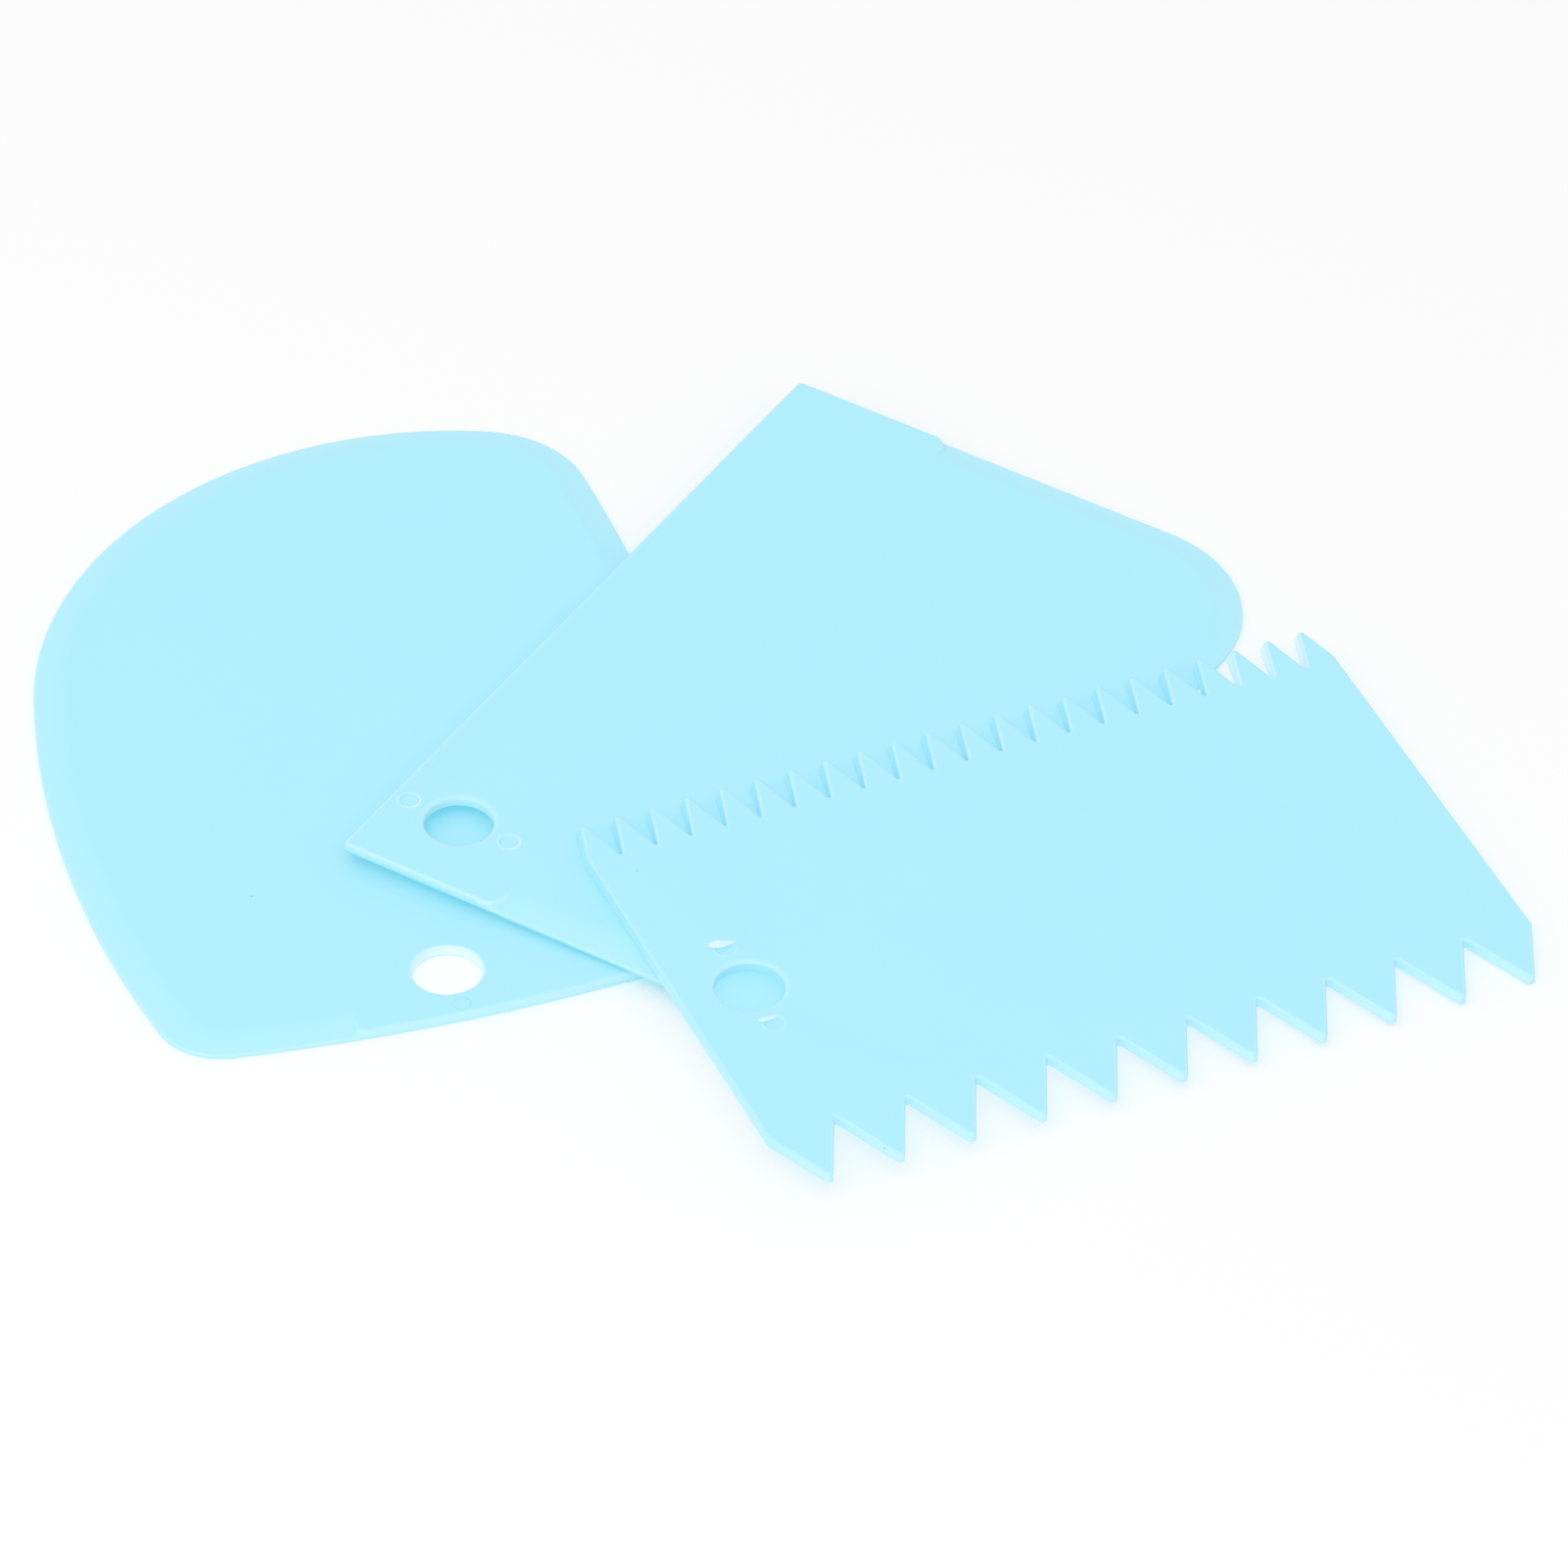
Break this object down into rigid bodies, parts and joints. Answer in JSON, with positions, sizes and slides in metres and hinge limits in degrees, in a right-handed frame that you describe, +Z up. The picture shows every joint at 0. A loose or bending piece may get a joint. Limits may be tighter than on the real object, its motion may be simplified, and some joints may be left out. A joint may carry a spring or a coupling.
{
  "type": "icing smoother",
  "caption": "Loose set of pale blue moulded icing scrapers: a curved bowl scraper, a straight scraper and a two-sided toothed comb, each with a hang hole.",
  "frame": {"origin": "on the table, under the middle of the set's bounding box", "axes": "+Z up from the table, +X along the comb's rows of teeth away from its hang hole, +Y from the comb towards the curved end of the bowl scraper"},
  "size_m": [0.172, 0.169, 0.0052],
  "materials": {
    "blue_plastic": "satin moulded polypropylene"
  },
  "bodies": {
    "bowl": {"bowl_scraper": "blue_plastic"},
    "straight": {"straight_scraper": "blue_plastic"},
    "comb": {"comb_scraper": "blue_plastic"}
  },
  "joints": [
    {"name": "straight_lift", "type": "slide", "parent": "bowl", "child": "straight", "axis": [0, 0, 1], "range_m": [0, 0.1]},
    {"name": "comb_lift", "type": "slide", "parent": "straight", "child": "comb", "axis": [0, 0, 1], "range_m": [0, 0.1]}
  ]
}
